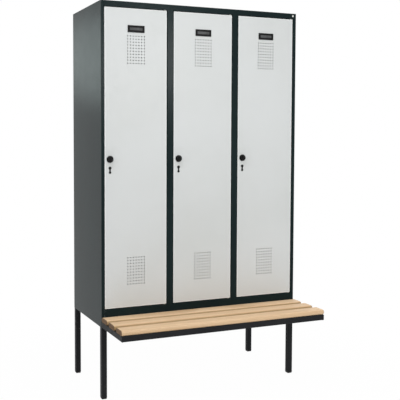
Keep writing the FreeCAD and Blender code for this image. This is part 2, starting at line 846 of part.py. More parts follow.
def check_and_write():
    doc.recompute()
    failed = [item.Label for item in doc.Objects if "Invalid" in item.State or "Error" in item.State]
    for item in nodes:
        if item.Shape.isNull() or not item.Shape.isValid() or not item.Shape.Solids:
            failed.append(item.Label)
    if failed:
        raise RuntimeError("not built: " + ", ".join(failed))
    os.makedirs("parts", exist_ok=True)
    for item in nodes:
        item.Shape.exportStep(f"parts/{item.Label}.step")
    print(len(nodes), "nodes written")


side_panel("left_side_panel", "left", 1)
side_panel("right_side_panel", "right", -1)
top_panel()
bottom_panel()
back_panel()
for n in range(1, compartments):
    mullion(n)
    partition(n)
for n in range(compartments):
    hat_shelf(n)
    coat_rail(n)
    coat_hook(n)
rail_sockets()
base_frame()
legs_and_feet()
seat_slats()
screws("slat_screws", "slat_screw", slat_screw_lines, slat_screw_rows, "frame_top + slat_screw_bite")
screws("case_screws", "case_screw", case_screw_lines, case_screw_rows, "frame_top + gauge + case_screw_tip")
hinge_bushes()
for n in range(compartments):
    door_panel(n)
    door_stiffener(n)
    hinge_pins(n)
    label_holder(n)
    knob(n)
    latch_cam(n)
    lock_housing(n)
    lock_plug(n)
check_and_write()
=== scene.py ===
import bmesh
import bpy
import math
from mathutils import Euler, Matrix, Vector


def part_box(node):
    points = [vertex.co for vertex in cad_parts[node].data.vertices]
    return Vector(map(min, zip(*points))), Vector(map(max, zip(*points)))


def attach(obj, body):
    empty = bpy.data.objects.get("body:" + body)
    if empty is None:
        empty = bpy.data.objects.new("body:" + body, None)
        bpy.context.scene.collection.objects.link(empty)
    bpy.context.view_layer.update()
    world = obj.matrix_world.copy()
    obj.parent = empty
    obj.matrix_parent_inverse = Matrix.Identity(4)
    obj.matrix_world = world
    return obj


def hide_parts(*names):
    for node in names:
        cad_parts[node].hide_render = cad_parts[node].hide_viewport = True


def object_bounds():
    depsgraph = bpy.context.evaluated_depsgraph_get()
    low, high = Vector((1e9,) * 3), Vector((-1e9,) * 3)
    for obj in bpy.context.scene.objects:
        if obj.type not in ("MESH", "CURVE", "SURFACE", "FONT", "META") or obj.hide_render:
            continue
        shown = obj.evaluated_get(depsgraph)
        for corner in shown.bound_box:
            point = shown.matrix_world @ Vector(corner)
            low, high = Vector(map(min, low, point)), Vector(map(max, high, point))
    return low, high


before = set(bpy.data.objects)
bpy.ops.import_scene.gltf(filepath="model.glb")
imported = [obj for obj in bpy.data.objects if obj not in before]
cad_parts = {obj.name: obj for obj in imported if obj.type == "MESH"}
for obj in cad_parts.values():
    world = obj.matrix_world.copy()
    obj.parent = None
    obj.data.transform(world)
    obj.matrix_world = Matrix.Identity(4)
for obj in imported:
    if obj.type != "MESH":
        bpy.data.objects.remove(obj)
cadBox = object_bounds()
print("frame loaded:", len(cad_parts), "pieces")


class Wire:
    # a node's socket that can stand in a Python sum
    def __init__(self, tree, socket=None):
        self.tree = tree
        self.socket = socket

    def make(self, kind, settings=None, sockets=None, out=0):
        node = self.tree.nodes.new(kind)
        for name, value in (settings or {}).items():
            setattr(node, name, value)
        for name, value in (sockets or {}).items():
            if isinstance(value, Wire):
                value.into(node, name)
            else:
                node.inputs[name].default_value = value
        return Wire(self.tree, node.outputs[out])

    def into(self, node, name):
        self.tree.links.new(self.socket, node.inputs[name])

    def other(self, out):
        return Wire(self.tree, self.socket.node.outputs[out])

    def sum(self, operation, first, second=0.0):
        return self.make("ShaderNodeMath", {"operation": operation}, {0: first, 1: second})

    def vector(self, operation, *values):
        return self.make("ShaderNodeVectorMath", {"operation": operation}, dict(enumerate(values)))

    def __add__(self, other):
        return self.sum("ADD", self, other)

    def __sub__(self, other):
        return self.sum("SUBTRACT", self, other)

    def __rsub__(self, other):
        return self.sum("SUBTRACT", other, self)

    def __mul__(self, other):
        return self.sum("MULTIPLY", self, other)

    def __truediv__(self, other):
        return self.sum("DIVIDE", self, other)

    def __pow__(self, other):
        return self.sum("POWER", self, other)

    __radd__ = __add__
    __rmul__ = __mul__


def tone(red, green, blue):
    # a colour as a screen shows it, 0 to 255
    def linear(level):
        share = level / 255
        return share / 12.92 if share <= 0.04045 else ((share + 0.055) / 1.055) ** 2.4
    return (linear(red), linear(green), linear(blue), 1)


def boxOf(node):
    low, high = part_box(node)
    return Vector(low), Vector(high)


# Camera, light and floor

photoView = {
    "place": (-1.8445, -3.7369, 1.4082),
    "yaw": 21.932,    # degrees towards +X
    "dip": 2.948,     # degrees down
    "lens": 65.673,
    "sensor": 36,
    "shift": (0.15, -0.065),
}

lamps = {
    "keyLamp": {"place": (-3.0, -2.6, 2.6), "aim": (-0.1, -0.1, 1.3), "size": 1.8, "power": 12},
    "frontLamp": {"place": (1.12, -3.8, 2.2), "aim": (-0.6, -0.1, 1.1), "size": 0.95, "power": 49},
    "roofLamp": {"place": (-1.4, -1.7, 4.4), "aim": (-0.4, -0.3, 0.6), "size": 2.4, "power": 41},
    "sheenLamp": {"place": (-2.3, 4.4, 2.3), "aim": (-0.6, 0.1, 1.6), "size": 1.05, "power": 6,
                  "colour": (0.84, 1, 0.98)},
    "backLamp": {"place": (1.2, 4.3, 2.8), "aim": (0.1, 0.4, 1.2), "size": 2.0, "power": 60},
    "leftLamp": {"place": (-4.2, 0.6, 1.7), "aim": (-0.6, 0.2, 1.3), "size": 1.8, "power": 35},
    "rightLamp": {"place": (4.3, 0.2, 2.4), "aim": (0.6, 0.1, 1.2), "size": 1.8, "power": 36},
}

studio = {"ambient": 0.40, "background": 1.0}

floorLook = {
    "radius": 14,
    "corners": 96,
    "colour": tone(238, 238, 237),
    "nearWhite": 0.98,    # how much of the floor's light is plain white beside the object
    "fadeFrom": 0.8,
    "fadeTo": 1.9,
}


def aimCamera():
    camera = bpy.data.cameras.new("photoCamera")
    camera.lens = photoView["lens"]
    camera.sensor_width = photoView["sensor"]
    camera.shift_x, camera.shift_y = photoView["shift"]
    holder = bpy.data.objects.new("photoCamera", camera)
    holder.location = photoView["place"]
    holder.rotation_euler = Euler((math.radians(90 - photoView["dip"]), 0, -math.radians(photoView["yaw"])))
    bpy.context.scene.collection.objects.link(holder)
    bpy.context.scene.camera = holder


def hangLamps():
    for name, lamp in lamps.items():
        light = bpy.data.lights.new(name, "AREA")
        light.shape = "DISK"
        light.size = lamp["size"]
        light.energy = lamp["power"]
        light.color = lamp.get("colour", (1, 1, 1))
        holder = bpy.data.objects.new(name, light)
        holder.location = lamp["place"]
        direction = Vector(lamp["aim"]) - Vector(lamp["place"])
        holder.rotation_euler = direction.to_track_quat("-Z", "Y").to_euler()
        bpy.context.scene.collection.objects.link(holder)


def seenRays(at):
    # 1 where the background is looked at, also in metal and through glass
    path = at.make("ShaderNodeLightPath", out="Is Camera Ray")
    shiny = at.sum("MAXIMUM", path.other("Is Glossy Ray"), path.other("Is Transmission Ray"))
    return at.sum("MAXIMUM", path, shiny)


def whiteWorld():
    world = bpy.data.worlds.new("studio")
    world.use_nodes = True
    at = Wire(world.node_tree)
    strength = studio["ambient"] + seenRays(at) * (studio["background"] - studio["ambient"])
    background = world.node_tree.nodes["Background"]
    background.inputs["Color"].default_value = (1, 1, 1, 1)
    strength.into(background, "Strength")
    bpy.context.scene.world = world


def layFloor():
    turn = 2 * math.pi / floorLook["corners"]
    rim = [
        (floorLook["radius"] * math.cos(turn * i), floorLook["radius"] * math.sin(turn * i), cadBox[0][2])
        for i in range(floorLook["corners"])
    ]
    mesh = bpy.data.meshes.new("floor")
    mesh.from_pydata(rim, [], [range(floorLook["corners"])])
    floor = bpy.data.objects.new("floor", mesh)
    bpy.context.scene.collection.objects.link(floor)

    material = bpy.data.materials.new("floorPaper")
    material.use_nodes = True
    tree = material.node_tree
    tree.nodes.clear()
    at = Wire(tree)
    away = at.make("ShaderNodeVectorMath", {"operation": "LENGTH"}, {0: spotOf(at)}, "Value")
    fade = at.make("ShaderNodeMapRange", {"interpolation_type": "SMOOTHSTEP"}, {
        "Value": away, "From Min": floorLook["fadeFrom"], "From Max": floorLook["fadeTo"],
        "To Min": floorLook["nearWhite"],
    })
    paper = at.make("ShaderNodeBsdfDiffuse", {}, {"Color": floorLook["colour"]})
    white = at.make("ShaderNodeEmission", {}, {"Strength": studio["background"]})
    surface = at.make("ShaderNodeMixShader", {}, {0: fade * seenRays(at), 1: paper, 2: white})
    surface.into(tree.nodes.new("ShaderNodeOutputMaterial"), "Surface")
    mesh.materials.append(material)


# What the finishes share

def newFinish(name, fixed):
    # a material, its tree and its shader with these fixed values
    material = bpy.data.materials.new(name)
    material.use_nodes = True
    shader = material.node_tree.nodes["Principled BSDF"]
    for socket, value in fixed.items():
        shader.inputs[socket].default_value = value
    return material, Wire(material.node_tree), shader


def spotOf(at):
    return at.make("ShaderNodeTexCoord", out="Object")


def parts(at, vector):
    split = at.make("ShaderNodeSeparateXYZ", {}, {0: vector})
    return split, split.other(1), split.other(2)


def joined(at, x, y, z):
    return at.make("ShaderNodeCombineXYZ", {}, {0: x, 1: y, 2: z})


def noise(at, vector, scale, detail=2.0):
    return at.make("ShaderNodeTexNoise", {}, {"Vector": vector, "Scale": scale, "Detail": detail})


def stretchedNoise(at, vector, scales, detail):
    # noise with its own scale along each axis
    return noise(at, at.vector("MULTIPLY", vector, scales), 1, detail)


def ease(at, value, low, high):
    # 0 up to low, 1 from high on
    return at.make("ShaderNodeMapRange", {"interpolation_type": "SMOOTHSTEP"},
                   {"Value": value, "From Min": low, "From Max": high})


def mixed(at, share, first, second):
    # 6, 7 and 2 are the node's sockets for colours
    return at.make("ShaderNodeMix", {"data_type": "RGBA"}, {0: share, 6: first, 7: second}, 2)


def bumped(at, height, strength, depth):
    return at.make("ShaderNodeBump", {}, {"Height": height, "Strength": strength, "Distance": depth})


def edgeNearness(at, spot, low, high, width):
    # 1 along the edges of a box, 0 from this width inwards
    gaps = [
        at.sum("ABSOLUTE", at.sum("MINIMUM", along - start, end - along))
        for along, start, end in zip(parts(at, spot), low, high)
    ]
    nearer = at.sum("MINIMUM", gaps[0], gaps[1])
    farther = at.sum("MAXIMUM", gaps[0], gaps[1])
    second = at.sum("MAXIMUM", nearer, at.sum("MINIMUM", farther, gaps[2]))
    return 1 - ease(at, second, 0.0, width)


# Powder coats

caseBox = (boxOf("left_side_panel")[0], boxOf("top_panel")[1])
doorNumbers = (1, 2, 3)
doorBox = boxOf("door_1_panel")
doorPitch = boxOf("door_2_panel")[0].x - doorBox[0].x
knobBox = boxOf("door_1_knob")

casePaint = {
    "colour": tone(27, 40, 41), "deep": tone(23, 35, 36), "wornAndHighlight": tone(98, 104, 104),
    "dust": tone(116, 118, 116),
    "specular": 0.05, "smooth": 0.18, "rough": 0.23,
    "driftScale": 2.2, "grainScale": 1500, "peelScale": 420, "peelDepth": 0.00012,
    "rimWidth": 0.0035, "patchScale": 16, "rimFrom": 0.3, "rimTo": 0.55, "rimShare": 0.4,
    "markShare": 0.1, "markRough": 0.22,
}

doorPaint = {
    "colour": tone(216, 219, 219), "deep": tone(210, 213, 212), "wornAndHighlight": tone(247, 249, 248),
    "dust": tone(186, 187, 182),
    "specular": 0.3, "smooth": 0.36, "rough": 0.47,
    "driftScale": 1.6, "grainScale": 1700, "peelScale": 380, "peelDepth": 0.0001,
    # the doors' pale rim is a painted highlight along their folded edges
    "rimWidth": 0.009, "patchScale": 22, "rimFrom": 0.1, "rimTo": 0.5, "rimShare": 0.9,
    "markShare": 0.3, "markRough": -0.06,
}

framePaint = {
    "colour": tone(40, 41, 43), "deep": tone(35, 36, 38), "wornAndHighlight": tone(108, 108, 106),
    "dust": tone(96, 94, 90),
    "specular": 0.06, "smooth": 0.40, "rough": 0.54,
    "driftScale": 5, "grainScale": 1500, "peelScale": 520, "peelDepth": 0.00012,
    "rimWidth": 0.003, "patchScale": 25, "rimFrom": 0.3, "rimTo": 0.55, "rimShare": 0.35,
    "markShare": 0.35, "markRough": 0.1,
}

sprayLook = {
    "driftDetail": 4, "peelDetail": 3, "patchDetail": 3,
    "grainTone": 0.4, "grainPeel": 0.3,    # the grain's share in the tone and in the peel
    "driftDull": 0.6, "patchDull": 0.4,
    "from": 0.35, "to": 0.65, "bump": 0.35,
}


def powderCoat(name, look, box, marks, fold=False):
    # sprayed and baked paint: orange peel, a slow drift of tone, pale edges and marks of use
    material, at, shader = newFinish(name, {"Specular IOR Level": look["specular"]})
    spot = spotOf(at)
    place = foldedDoors(at, spot) if fold else spot
    drift = noise(at, spot, look["driftScale"], sprayLook["driftDetail"])
    grain = noise(at, spot, look["grainScale"])
    peel = noise(at, spot, look["peelScale"], sprayLook["peelDetail"])
    patchy = noise(at, spot, look["patchScale"], sprayLook["patchDetail"])
    # pale edges: rubbed wear on the case and frame, a painted highlight along the doors' folded edges
    edgeWearAndHighlight = edgeNearness(at, place, *box, look["rimWidth"])
    edgeWearAndHighlight = edgeWearAndHighlight * ease(at, patchy, look["rimFrom"], look["rimTo"])
    marked = marks(at, place)
    varied = drift + (grain - 0.5) * sprayLook["grainTone"]
    colour = mixed(at, ease(at, varied, sprayLook["from"], sprayLook["to"]), look["deep"], look["colour"])
    colour = mixed(at, marked * look["markShare"], colour, look["dust"])
    mixed(at, edgeWearAndHighlight * look["rimShare"], colour, look["wornAndHighlight"]).into(shader, "Base Color")
    dull = drift * sprayLook["driftDull"] + patchy * sprayLook["patchDull"]
    dull = ease(at, dull, sprayLook["from"], sprayLook["to"])
    roughness = look["smooth"] + dull * (look["rough"] - look["smooth"]) + marked * look["markRough"]
    roughness.into(shader, "Roughness")
    height = peel + grain * sprayLook["grainPeel"]
    bumped(at, height, sprayLook["bump"], look["peelDepth"]).into(shader, "Normal")
    return material


def foldedDoors(at, spot):
    # every door seen as the first one
    x, y, z = parts(at, spot)
    middle = (doorBox[0].x + doorBox[1].x) / 2
    steps = at.sum("ROUND", (x - middle) / doorPitch)
    return joined(at, x - steps * doorPitch, y, z)


dustLook = {"upFrom": 0.7, "upTo": 0.95, "least": 0.8, "cloud": 0.35, "scale": 9, "detail": 7}


def roofDust(at, spot):
    # what settles on the faces that look up
    up = parts(at, at.make("ShaderNodeNewGeometry", out="Normal"))[2]
    cloud = noise(at, spot, dustLook["scale"], dustLook["detail"]) * dustLook["cloud"]
    return ease(at, up, dustLook["upFrom"], dustLook["upTo"]) * (dustLook["least"] + cloud)


handMark = {"within": 0.015, "reach": 0.085, "scale": 22, "detail": 4, "from": 0.35, "to": 0.75}


def handMarks(at, spot):
    # a faint greasy patch round each knob
    centre = (knobBox[0] + knobBox[1]) / 2
    x, _, z = parts(at, spot)
    away = at.sum("SQRT", (x - centre.x) ** 2 + (z - centre.z) ** 2)
    smear = noise(at, spot, handMark["scale"], handMark["detail"])
    smear = ease(at, smear, handMark["from"], handMark["to"])
    return (1 - ease(at, away, handMark["within"], handMark["reach"])) * smear


scuffLook = {
    "fullTo": 0.04, "noneFrom": 0.22,    # heights on the leg
    "scratch": (45, 45, 420), "scratchDetail": 4, "scratchFrom": 0.56, "scratchTo": 0.72,
    "knock": 34, "knockDetail": 3, "knockFrom": 0.46, "knockTo": 0.66,
}


def footScuffs(at, spot):
    # scratches that shoes and mops leave on the lower ends of the legs
    look = scuffLook
    height = parts(at, spot)[2]
    scratches = stretchedNoise(at, spot, look["scratch"], look["scratchDetail"])
    knocks = noise(at, spot, look["knock"], look["knockDetail"])
    low = 1 - ease(at, height, look["fullTo"], look["noneFrom"])
    scratched = low * ease(at, scratches, look["scratchFrom"], look["scratchTo"])
    return scratched * ease(at, knocks, look["knockFrom"], look["knockTo"])


# Wood

beechLook = {
    "pale": tone(241, 210, 173), "honey": tone(224, 188, 146), "vein": tone(176, 134, 92),
    # flankShade is painted shade on the slats' rounded flanks
    "flankShade": tone(164, 134, 92), "end": tone(64, 38, 20),
    "specular": 0.18, "lacquer": 0.06, "lacquerRough": 0.3,
    "boardStep": (3.7, 0.9, 0.31),           # how far apart in the timber the slats are cut
    "boardAside": 0.05, "wanderAside": 0.05, "wanderRing": 0.012,
    "ringPitch": 0.0062, "pithDrop": 0.07,
    "drift": 0.012,                          # how fast the rings run out along a slat
    "lateFrom": 0.35, "lateTo": 0.9, "lateEnd": 0.93,    # the dense end of a year's growth
    "wander": (1.6, 9, 9), "streak": (1.4, 55, 55), "fleck": (110, 900, 900), "cloud": (3, 14, 14),
    "streakFrom": 0.36, "streakTo": 0.66, "fleckFrom": 0.62, "fleckTo": 0.72,
    "lateTone": 0.35, "streakTone": 0.5, "cloudTone": 0.5, "boardTone": 0.12,
    "fleckVein": 0.4, "lateVein": 0.12,
    "flankFrom": 0.0006, "flankTo": 0.0055,    # below the top, where painted shade darkens the rounded flanks
    "flankShare": 0.85, "flankStreak": 0.3,
    "frontShadeFade": 0.016, "frontShadeLeave": 0.25,    # how far in from the front edge the painted flank shade weakens, and how much of it stays there
    "endFrom": 0.0028, "endTo": 0.0012,        # from the ends inwards, where the end grain's darker tone is deepened with painted shade
    "endShare": 0.92, "endRings": 0.3,
    "roughness": 0.44, "streakRough": 0.16, "fleckRough": -0.06, "endRough": 0.2,
    "lateHeight": 0.5, "bump": 0.3, "depth": 0.0002,
}


def lacqueredBeech():
    look = beechLook
    material, at, shader = newFinish("lacqueredBeech", {
        "Specular IOR Level": look["specular"], "Coat Weight": look["lacquer"],
        "Coat Roughness": look["lacquerRough"],
    })
    spot = spotOf(at)
    board = at.make("ShaderNodeAttribute", {"attribute_name": "board"}, out="Fac")
    own = at.vector("ADD", spot, joined(at, *(board * step for step in look["boardStep"])))
    wander = stretchedNoise(at, own, look["wander"], detail=3) - 0.5
    x, y, z = parts(at, own)
    aside = y + board * look["boardAside"] + wander * look["wanderAside"]
    radius = at.sum("SQRT", aside ** 2 + (z - look["pithDrop"]) ** 2)
    growth = radius + x * look["drift"] + wander * look["wanderRing"]
    ring = at.sum("FRACT", growth / look["ringPitch"])
    late = ease(at, ring, look["lateFrom"], look["lateTo"]) * (1 - ease(at, ring, look["lateEnd"], 1.0))
    streak = stretchedNoise(at, own, look["streak"], detail=4)
    fleck = stretchedNoise(at, own, look["fleck"], detail=1)
    fleck = ease(at, fleck, look["fleckFrom"], look["fleckTo"])
    cloud = stretchedNoise(at, own, look["cloud"], detail=3) - 0.5
    streaked = ease(at, streak, look["streakFrom"], look["streakTo"])
    figure = late * look["lateTone"] + streaked * look["streakTone"]
    figure = figure + cloud * look["cloudTone"] + board * look["boardTone"]
    colour = mixed(at, at.sum("MINIMUM", figure, 1.0), look["pale"], look["honey"])
    colour = mixed(at, fleck * look["fleckVein"] + late * look["lateVein"], colour, look["vein"])

    corner = boxOf("seat_slat_middle")[1]
    frontEdge = boxOf("seat_slat_front")[0].y
    alongSlat, acrossSlat, height = parts(at, spot)
    # painted shade on the rounded flanks below the top, weaker along the front edge
    flankShade = ease(at, corner.z - height, look["flankFrom"], look["flankTo"])
    fromFront = ease(at, acrossSlat, frontEdge, frontEdge + look["frontShadeFade"])
    flankShadeLeft = look["frontShadeLeave"] + fromFront * (1 - look["frontShadeLeave"])
    paintedFlankShade = flankShade * flankShadeLeft * (look["flankShare"] + (streak - 0.5) * look["flankStreak"])
    colour = mixed(at, paintedFlankShade, colour, look["flankShade"])
    # the cut ends: the end grain's own darker tone, deepened with painted shade
    reach = at.sum("ABSOLUTE", alongSlat)
    ends = ease(at, reach, corner.x - look["endFrom"], corner.x - look["endTo"])
    endGrainAndShade = ends * (look["endShare"] - late * look["endRings"])
    mixed(at, endGrainAndShade, colour, look["end"]).into(shader, "Base Color")
    roughness = look["roughness"] + streak * look["streakRough"] + fleck * look["fleckRough"]
    (roughness + ends * look["endRough"]).into(shader, "Roughness")
    bumped(at, late * look["lateHeight"] - fleck, look["bump"], look["depth"]).into(shader, "Normal")
    return material


# Plastics, metals and paper

plasticLooks = {
    "black_plastic": {"colour": tone(28, 28, 29), "haze": tone(46, 46, 46), "roughness": 0.5, "grain": 2200},
    "knob_plastic": {"colour": tone(13, 13, 14), "haze": tone(28, 28, 29), "roughness": 0.42, "grain": 2600},
    "label_plastic": {"colour": tone(11, 11, 12), "haze": tone(24, 24, 25), "roughness": 0.46,
                      "grain": 3000},
    "lock_black": {"colour": tone(12, 12, 13), "haze": tone(30, 30, 31), "roughness": 0.38, "grain": 3400},
    "nylon": {"colour": tone(214, 211, 202), "haze": tone(188, 183, 170), "roughness": 0.5, "grain": 1500},
}

mouldLook = {
    "specular": 0.12,
    "hazeScale": 70, "hazeFrom": 0.4, "hazeTo": 0.75, "hazeShare": 0.35, "hazeRough": 0.12,
    "scratch": (260, 90, 2100), "scratchFrom": 0.63, "scratchTo": 0.7, "scratchShare": 0.3,
    "grainRough": 0.1, "bump": 0.3, "depth": 0.00008,
}


def mouldedPlastic(name, look):
    # eroded mould grain, flow haze and fine scratches
    mould = mouldLook
    material, at, shader = newFinish(name, {"Specular IOR Level": mould["specular"]})
    spot = spotOf(at)
    haze = noise(at, spot, mould["hazeScale"], detail=4)
    haze = ease(at, haze, mould["hazeFrom"], mould["hazeTo"])
    scratch = stretchedNoise(at, spot, mould["scratch"], detail=2)
    scratch = ease(at, scratch, mould["scratchFrom"], mould["scratchTo"])
    grain = noise(at, spot, look["grain"])
    pale = haze * mould["hazeShare"] + scratch * mould["scratchShare"]
    mixed(at, pale, look["colour"], look["haze"]).into(shader, "Base Color")
    roughness = look["roughness"] + haze * mould["hazeRough"] + (grain - 0.5) * mould["grainRough"]
    roughness.into(shader, "Roughness")
    bumped(at, grain - scratch * mould["scratchShare"], mould["bump"], mould["depth"]).into(shader, "Normal")
    return material


zincLook = {
    "dull": tone(172, 175, 178), "bright": tone(205, 207, 208), "tarnish": tone(176, 165, 138),
    "crystals": 420,
    "tarnishScale": 45, "tarnishFrom": 0.4, "tarnishTo": 0.72, "tarnishShare": 0.4,
    "roughness": 0.26, "crystalRough": 0.14, "tarnishRough": 0.12, "bump": 0.12, "depth": 0.00005,
}


def zincPlate():
    # crystals of the plating, each with its own sheen
    look = zincLook
    material, at, shader = newFinish("zincPlate", {"Metallic": 1.0})
    spot = spotOf(at)
    cells = at.make("ShaderNodeTexVoronoi", {}, {"Vector": spot, "Scale": look["crystals"]}, "Color")
    crystal = parts(at, cells)[0]
    tarnish = noise(at, spot, look["tarnishScale"], detail=4)
    tarnish = ease(at, tarnish, look["tarnishFrom"], look["tarnishTo"])
    plate = mixed(at, crystal, look["dull"], look["bright"])
    mixed(at, tarnish * look["tarnishShare"], plate, look["tarnish"]).into(shader, "Base Color")
    roughness = look["roughness"] + crystal * look["crystalRough"] + tarnish * look["tarnishRough"]
    roughness.into(shader, "Roughness")
    bumped(at, crystal, look["bump"], look["depth"]).into(shader, "Normal")
    return material


chromeLook = {
    "clean": tone(224, 226, 228), "smudged": tone(203, 205, 206),
    "drawLines": (5, 1500, 1500), "smudgeScale": 38, "smudgeFrom": 0.45, "smudgeTo": 0.75,
    "roughness": 0.08, "smudgeRough": 0.16, "lineRough": 0.05, "bump": 0.1, "depth": 0.00003,
}


def chromedTube():
    # bright tube with draw lines and smudges
    look = chromeLook
    material, at, shader = newFinish("chromedTube", {"Metallic": 1.0})
    spot = spotOf(at)
    lines = stretchedNoise(at, spot, look["drawLines"], detail=2)
    smudge = noise(at, spot, look["smudgeScale"], detail=4)
    smudge = ease(at, smudge, look["smudgeFrom"], look["smudgeTo"])
    mixed(at, smudge, look["clean"], look["smudged"]).into(shader, "Base Color")
    roughness = look["roughness"] + smudge * look["smudgeRough"] + lines * look["lineRough"]
    roughness.into(shader, "Roughness")
    bumped(at, lines, look["bump"], look["depth"]).into(shader, "Normal")
    return material


paperLook = {
    "dark": tone(66, 67, 68), "pale": tone(84, 85, 86),
    "specular": 0.2, "cover": 0.12, "coverRough": 0.35,
    "fibre": (900, 900, 2400), "fibreTone": 0.5, "shadeScale": 26, "from": 0.35, "to": 0.65,
    "roughness": 0.5, "fibreRough": 0.2, "bump": 0.2, "depth": 0.00005,
}


def plainCard():
    # dark paper under a clear cover
    look = paperLook
    material, at, shader = newFinish("plainCard", {
        "Specular IOR Level": look["specular"], "Coat Weight": look["cover"],
        "Coat Roughness": look["coverRough"],
    })
    spot = spotOf(at)
    fibre = stretchedNoise(at, spot, look["fibre"], detail=3)
    shade = noise(at, spot, look["shadeScale"], detail=3) + (fibre - 0.5) * look["fibreTone"]
    shade = ease(at, shade, look["from"], look["to"])
    mixed(at, shade, look["dark"], look["pale"]).into(shader, "Base Color")
    (look["roughness"] + fibre * look["fibreRough"]).into(shader, "Roughness")
    bumped(at, fibre, look["bump"], look["depth"]).into(shader, "Normal")
    return material


finishes = {
    "case_paint": powderCoat("anthraciteCoat", casePaint, caseBox, roofDust),
    "door_paint": powderCoat("lightGreyCoat", doorPaint, doorBox, handMarks, fold=True),
    "frame_paint": powderCoat("blackGreyCoat", framePaint, caseBox, footScuffs),
    "beech": lacqueredBeech(),
    "zinc_steel": zincPlate(),
    "chromed_tube": chromedTube(),
    **{slot: mouldedPlastic(slot + "Finish", look) for slot, look in plasticLooks.items()},
}

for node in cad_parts.values():
    for slot in node.material_slots:
        slot.material = finishes[slot.material.name]
print("finishes set:", len(finishes))


# Geometry Nodes

def newTree(name, inputs):
    # a tree with a named input for each size, and wires from those inputs
    kinds = {int: "NodeSocketInt", float: "NodeSocketFloat", tuple: "NodeSocketVector"}
    tree = bpy.data.node_groups.new(name, "GeometryNodeTree")
    tree.interface.new_socket("Geometry", in_out="OUTPUT", socket_type="NodeSocketGeometry")
    tree.interface.new_socket("Geometry", in_out="INPUT", socket_type="NodeSocketGeometry")
    for label, value in inputs.items():
        tree.interface.new_socket(label, in_out="INPUT", socket_type=kinds[type(value)])
    start = tree.nodes.new("NodeGroupInput")
    return Wire(tree), {socket.name: Wire(tree, socket) for socket in start.outputs}


def endTree(at, geometry, finish):
    smooth = at.make("GeometryNodeSetShadeSmooth", {}, {"Geometry": geometry})
    whole = at.make("GeometryNodeRealizeInstances", {}, {"Geometry": smooth})
    dressed = at.make("GeometryNodeSetMaterial", {}, {"Geometry": whole, "Material": finish})
    dressed.into(at.tree.nodes.new("NodeGroupOutput"), 0)


def grow(name, at, values, points=(), edges=()):
    # runs a tree and keeps what it makes as a plain mesh
    base = bpy.data.meshes.new(name + "Base")
    base.from_pydata(points, edges, [])
    piece = bpy.data.objects.new(name, base)
    bpy.context.scene.collection.objects.link(piece)
    modifier = piece.modifiers.new("grow", "NODES")
    modifier.node_group = at.tree
    for item in at.tree.interface.items_tree:
        if item.in_out == "INPUT" and item.name in values:
            modifier[item.identifier] = values[item.name]
    shapes = bpy.context.evaluated_depsgraph_get()
    mesh = bpy.data.meshes.new_from_object(
        piece.evaluated_get(shapes), preserve_all_data_layers=True, depsgraph=shapes)
    piece.modifiers.remove(modifier)
    mesh.name = name
    piece.data = mesh
    return piece


def alongLines(at, geometry, pitch):
    # points at even steps along drawn lines
    line = at.make("GeometryNodeMeshToCurve", {}, {"Mesh": geometry})
    return at.make("GeometryNodeResampleCurve", {"mode": "LENGTH"}, {"Curve": line, "Length": pitch})


def dress(piece, body):
    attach(piece, body)


# Seat slats

slatLook = {
    "names": ("rear", "middle", "front"),
    "boards": (0.15, 0.9, 0.5),    # which stretch of timber each slat is cut from
    "round": 0.011,
    "endRound": 0.0025,
    "crown": 0.0010,
    "sway": 0.0007,
    "swayScale": 1.7,
    "swayStep": 9.0,    # from board to board
    "rows": (121, 27, 15),
}


def slatTree():
    at, given = newTree("seatSlat", {
        "Size": (1.0, 1.0, 1.0), "Middle": (0.0, 0.0, 0.0), "Round": 0.0, "End Round": 0.0,
        "Crown": 0.0, "Sway": 0.0, "Board": 0.0,
    })
    rows = slatLook["rows"]
    block = at.make("GeometryNodeMeshCube", {}, {
        "Size": given["Size"], "Vertices X": rows[0], "Vertices Y": rows[1], "Vertices Z": rows[2],
    })
    half = at.vector("MULTIPLY", given["Size"], (0.5, 0.5, 0.5))
    share = at.vector("DIVIDE", at.make("GeometryNodeInputPosition"), half)
    crowded = at.vector("MULTIPLY", share, at.vector("SUBTRACT", (2, 2, 2), at.vector("ABSOLUTE", share)))
    spread = at.vector("MULTIPLY", crowded, half)    # more rows where the edges are rounded
    core = at.vector("SUBTRACT", half, joined(at, 0.0, given["Round"], given["Round"]))
    within = at.vector("MAXIMUM", spread, at.vector("MULTIPLY", core, (-1, -1, -1)))
    within = at.vector("MINIMUM", within, core)
    # a square corner becomes a round one, and the profile draws in at the very ends
    beyond = at.vector("SUBTRACT", spread, within)
    outY, outZ = parts(at, at.vector("ABSOLUTE", beyond))[1:]
    fromEnd = parts(at, at.vector("SUBTRACT", half, at.vector("ABSOLUTE", spread)))[0]
    short = at.sum("MAXIMUM", given["End Round"] - fromEnd, 0.0)
    taper = given["End Round"] - at.sum("SQRT", given["End Round"] ** 2 - short ** 2)
    reach = at.sum("MAXIMUM", outY, outZ) * (1 - taper / given["Round"])
    outward = at.vector("MULTIPLY", at.vector("NORMALIZE", beyond), joined(at, reach, reach, reach))
    rounded = at.vector("ADD", within, outward)
    x, _, z = parts(at, rounded)
    across = parts(at, at.vector("DIVIDE", rounded, half))[1]
    upper = ease(at, z, 0.0, parts(at, half)[2])
    wave = joined(at, x * slatLook["swayScale"], given["Board"] * slatLook["swayStep"], 0.0)
    sway = (noise(at, wave, 1, detail=1) - 0.5) * given["Sway"]
    crown = upper * given["Crown"] * (1 - across ** 2)
    shift = joined(at, 0.0, sway, crown + upper * sway)
    place = at.vector("ADD", at.vector("ADD", rounded, shift), given["Middle"])
    shaped = at.make("GeometryNodeSetPosition", {}, {"Geometry": block, "Position": place})
    named = at.make("GeometryNodeStoreNamedAttribute", {"data_type": "FLOAT", "domain": "POINT"}, {
        "Geometry": shaped, "Name": "board", "Value": given["Board"],
    })
    endTree(at, named, finishes["beech"])
    return at


